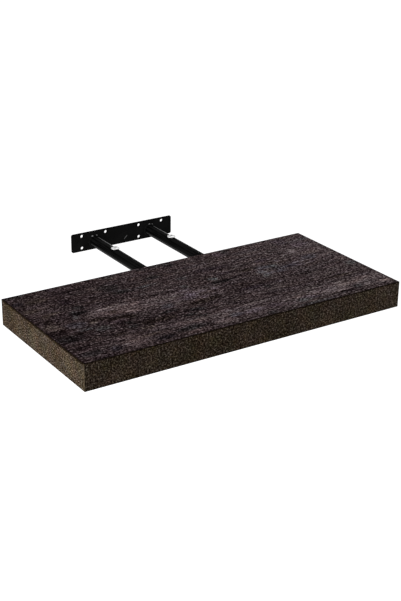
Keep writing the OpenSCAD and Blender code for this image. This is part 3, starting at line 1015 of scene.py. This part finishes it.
def mesh_object(name, bm):
    """A scene object made from a bmesh, which is freed."""
    mesh = bpy.data.meshes.new(name)
    bm.to_mesh(mesh)
    bm.free()
    thing = bpy.data.objects.new(name, mesh)
    bpy.context.scene.collection.objects.link(thing)
    return thing


def cut_away(bm, cutter_bm):
    """The first solid without the second, as a new bmesh."""
    body, cutter = mesh_object("cut_body", bm), mesh_object("cut_tool", cutter_bm)
    modifier = body.modifiers.new("cut", "BOOLEAN")
    modifier.operation = "DIFFERENCE"
    modifier.solver = "EXACT"
    modifier.use_self = True
    modifier.object = cutter
    bpy.context.view_layer.update()
    done = bmesh.new()
    mesh = body.evaluated_get(bpy.context.evaluated_depsgraph_get()).to_mesh()
    done.from_mesh(mesh)
    for thing in (body, cutter):
        bpy.data.objects.remove(thing)
    return done


def make_screw(node, body, metals, turn_deg):
    """A levelling screw with a domed head, a cross recess and a thread."""
    low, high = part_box(node)
    centre = (low + high) / 2
    radius = (high.x - low.x) / 2
    head = lathe(head_profile(radius, HEAD_HEIGHT, HEAD_RIM, HEAD_ROUNDING), SCREW_STEPS)
    bmesh.ops.recalc_face_normals(head, faces=head.faces)
    bm = cut_away(head, cross_cutter(turn_deg))
    for face in bm.faces:
        middle = face.calc_center_median()
        reach = math.hypot(middle.x, middle.y)
        dome = HEAD_RIM + (HEAD_HEIGHT - HEAD_RIM) * (1 - (reach / radius) ** 2)
        # Faces sunk in the cross recess get the second metal: dark zinc as painted shade
        sunk = HEAD_HEIGHT / 4 < middle.z < dome - SUNK_DEPTH and reach < radius * SUNK_REACH_SHARE
        face.material_index = 1 if sunk else 0
    threaded_shank(bm, SCREW_R, high.z - low.z - HEAD_HEIGHT)
    bm.transform(Matrix.Translation((centre.x, centre.y, high.z - HEAD_HEIGHT)))
    return new_piece(node + "_turned", bm, metals, body, node, smooth_deg=30)


def dress_nodes(materials):
    """Gives the CAD nodes whose shape is already right their materials."""
    wood = ["front_rail", "back_rail", "left_end_rail", "right_end_rail",
            "left_socket_block", "right_socket_block"]
    dressing = {"softwood": wood, "paper": ["left_core", "middle_core", "right_core"],
                "left_tube_coat": ["left_tube"], "right_tube_coat": ["right_tube"]}
    for key, nodes in dressing.items():
        for node in nodes:
            for slot in frame["nodes"][node].material_slots:
                slot.material = materials[key]


WELD_SEEDS = {"left": 3, "right": 8}
# Angles of the screws' recesses in degrees
RECESS_TURNS = {"left": 12, "right": 47}


def make_pieces(materials):
    """Every piece of the shelf."""
    make_panel("top_panel", 1, materials["decor"], materials["fibre"])
    make_panel("bottom_panel", -1, materials["decor_below"], materials["fibre"])
    rims = [materials["rim"], materials["cut"]]
    make_band("front_edge_band", Vector((0, -1, 0)), [materials["front_band"]] + rims)
    make_band("left_edge_band", Vector((-1, 0, 0)), [materials["end_band"]] + rims)
    make_band("right_edge_band", Vector((1, 0, 0)), [materials["end_band"]] + rims)
    make_plate(materials["plate_coat"])
    for side, seed in WELD_SEEDS.items():
        make_weld(side + "_weld", side + "_tube", materials[side + "_weld_coat"], seed)
    metals = [materials["zinc"], materials["zinc_painted_shade"]]
    for side, turn_deg in RECESS_TURNS.items():
        make_screw(side + "_screw", side + "_screw", metals, turn_deg)
    dress_nodes(materials)


# Stage: floor, lamps and world

FLOOR_Z = -1.0
FLOOR_SIZE = 60
FLOOR_GREY = 0.82
# What the floor adds to its own light where it is seen or mirrored, so that it shows white
FLOOR_GLOW = 0.72


def make_floor():
    """A pale floor far below the shelf, as below a shelf on a wall."""
    bm = bmesh.new()
    bmesh.ops.create_grid(bm, x_segments=2, y_segments=2, size=FLOOR_SIZE / 2)
    floor = mesh_object("floor", bm)
    floor.location = (board_middle.x, board_middle.y, FLOOR_Z)
    shade = Shade("pale_floor")
    diffuse = shade.add("ShaderNodeBsdfDiffuse")
    diffuse.inputs["Color"].default_value = (FLOOR_GREY, FLOOR_GREY, FLOOR_GREY, 1)
    glow = shade.add("ShaderNodeEmission")
    glow.inputs["Color"].default_value = (1, 1, 1, 1)
    shade.feed(glow.inputs["Strength"], shade.times(shade.seen(), FLOOR_GLOW))
    mixed = shade.add("ShaderNodeAddShader")
    shade.tree.links.new(diffuse.outputs[0], mixed.inputs[0])
    shade.tree.links.new(glow.outputs[0], mixed.inputs[1])
    out = shade.add("ShaderNodeOutputMaterial")
    shade.tree.links.new(mixed.outputs[0], out.inputs[0])
    floor.data.materials.append(shade.material)


# The world's strength for the light that it casts on the object
AMBIENT = 0.42


def make_world():
    """White where it is seen or mirrored, and a weaker even light on the object."""
    world = bpy.data.worlds.new("studio")
    bpy.context.scene.world = world
    world.use_nodes = True
    shade = Shade("studio", world.node_tree)
    light = shade.add("ShaderNodeBackground")
    shade.feed(light.inputs["Strength"], shade.rescale(shade.seen(), 0, 1, AMBIENT, 1.0))
    out = shade.add("ShaderNodeOutputWorld")
    shade.tree.links.new(light.outputs[0], out.inputs[0])
    light.inputs["Color"].default_value = (1, 1, 1, 1)


# Softboxes: place from the board's middle and size in metres, and power in watts
LAMPS = [
    ("side_softbox", (-1.7, 0.15, 0.65), (1.0, 1.0), 38),
    ("top_softbox", (0.9, 0.2, 1.5), (1.6, 1.2), 9),
]


def make_lamp(name, place, size, power):
    """A softbox that faces the board's middle and isn't seen by the camera."""
    data = bpy.data.lights.new(name, "AREA")
    data.shape = "RECTANGLE"
    data.size, data.size_y = size
    data.energy = power
    lamp = bpy.data.objects.new(name, data)
    bpy.context.scene.collection.objects.link(lamp)
    lamp.location = board_middle + Vector(place)
    lamp.rotation_mode = "QUATERNION"
    lamp.rotation_quaternion = (-Vector(place)).to_track_quat("-Z", "Y")
    lamp.visible_camera = False


make_camera()
make_world()
make_floor()
for lamp in LAMPS:
    make_lamp(*lamp)
make_pieces(make_materials())

bpy.context.scene.view_settings.view_transform = "Standard"
